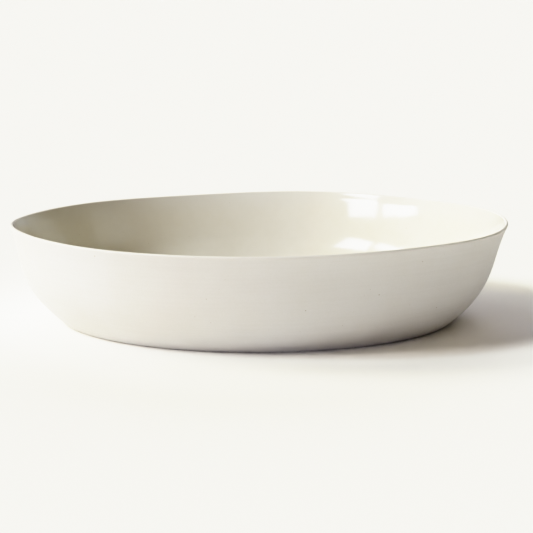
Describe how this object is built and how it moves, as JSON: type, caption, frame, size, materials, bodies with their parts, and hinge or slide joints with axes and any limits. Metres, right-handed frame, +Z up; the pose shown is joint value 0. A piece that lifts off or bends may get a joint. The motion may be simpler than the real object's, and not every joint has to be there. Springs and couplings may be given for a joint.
{
  "type": "porcelain serving bowl",
  "caption": "Wide, low porcelain serving bowl with a bare matt outside, a flared wall on a broad flat foot, a slim soft lip and a gloss glaze liner inside.",
  "frame": {"origin": "centre of the foot on the plane that the bowl stands on", "axes": "+Z up through the open mouth; the outline is nearly round, so +X and +Y are only a choice of front"},
  "size_m": [0.301, 0.2988, 0.06],
  "materials": {
    "bare_porcelain": "matt unglazed porcelain, smooth-sanded",
    "gloss_glaze": "clear gloss glaze over porcelain"
  },
  "bodies": {
    "root": {"porcelain_body": "bare_porcelain", "interior_glaze": "gloss_glaze"}
  },
  "joints": []
}
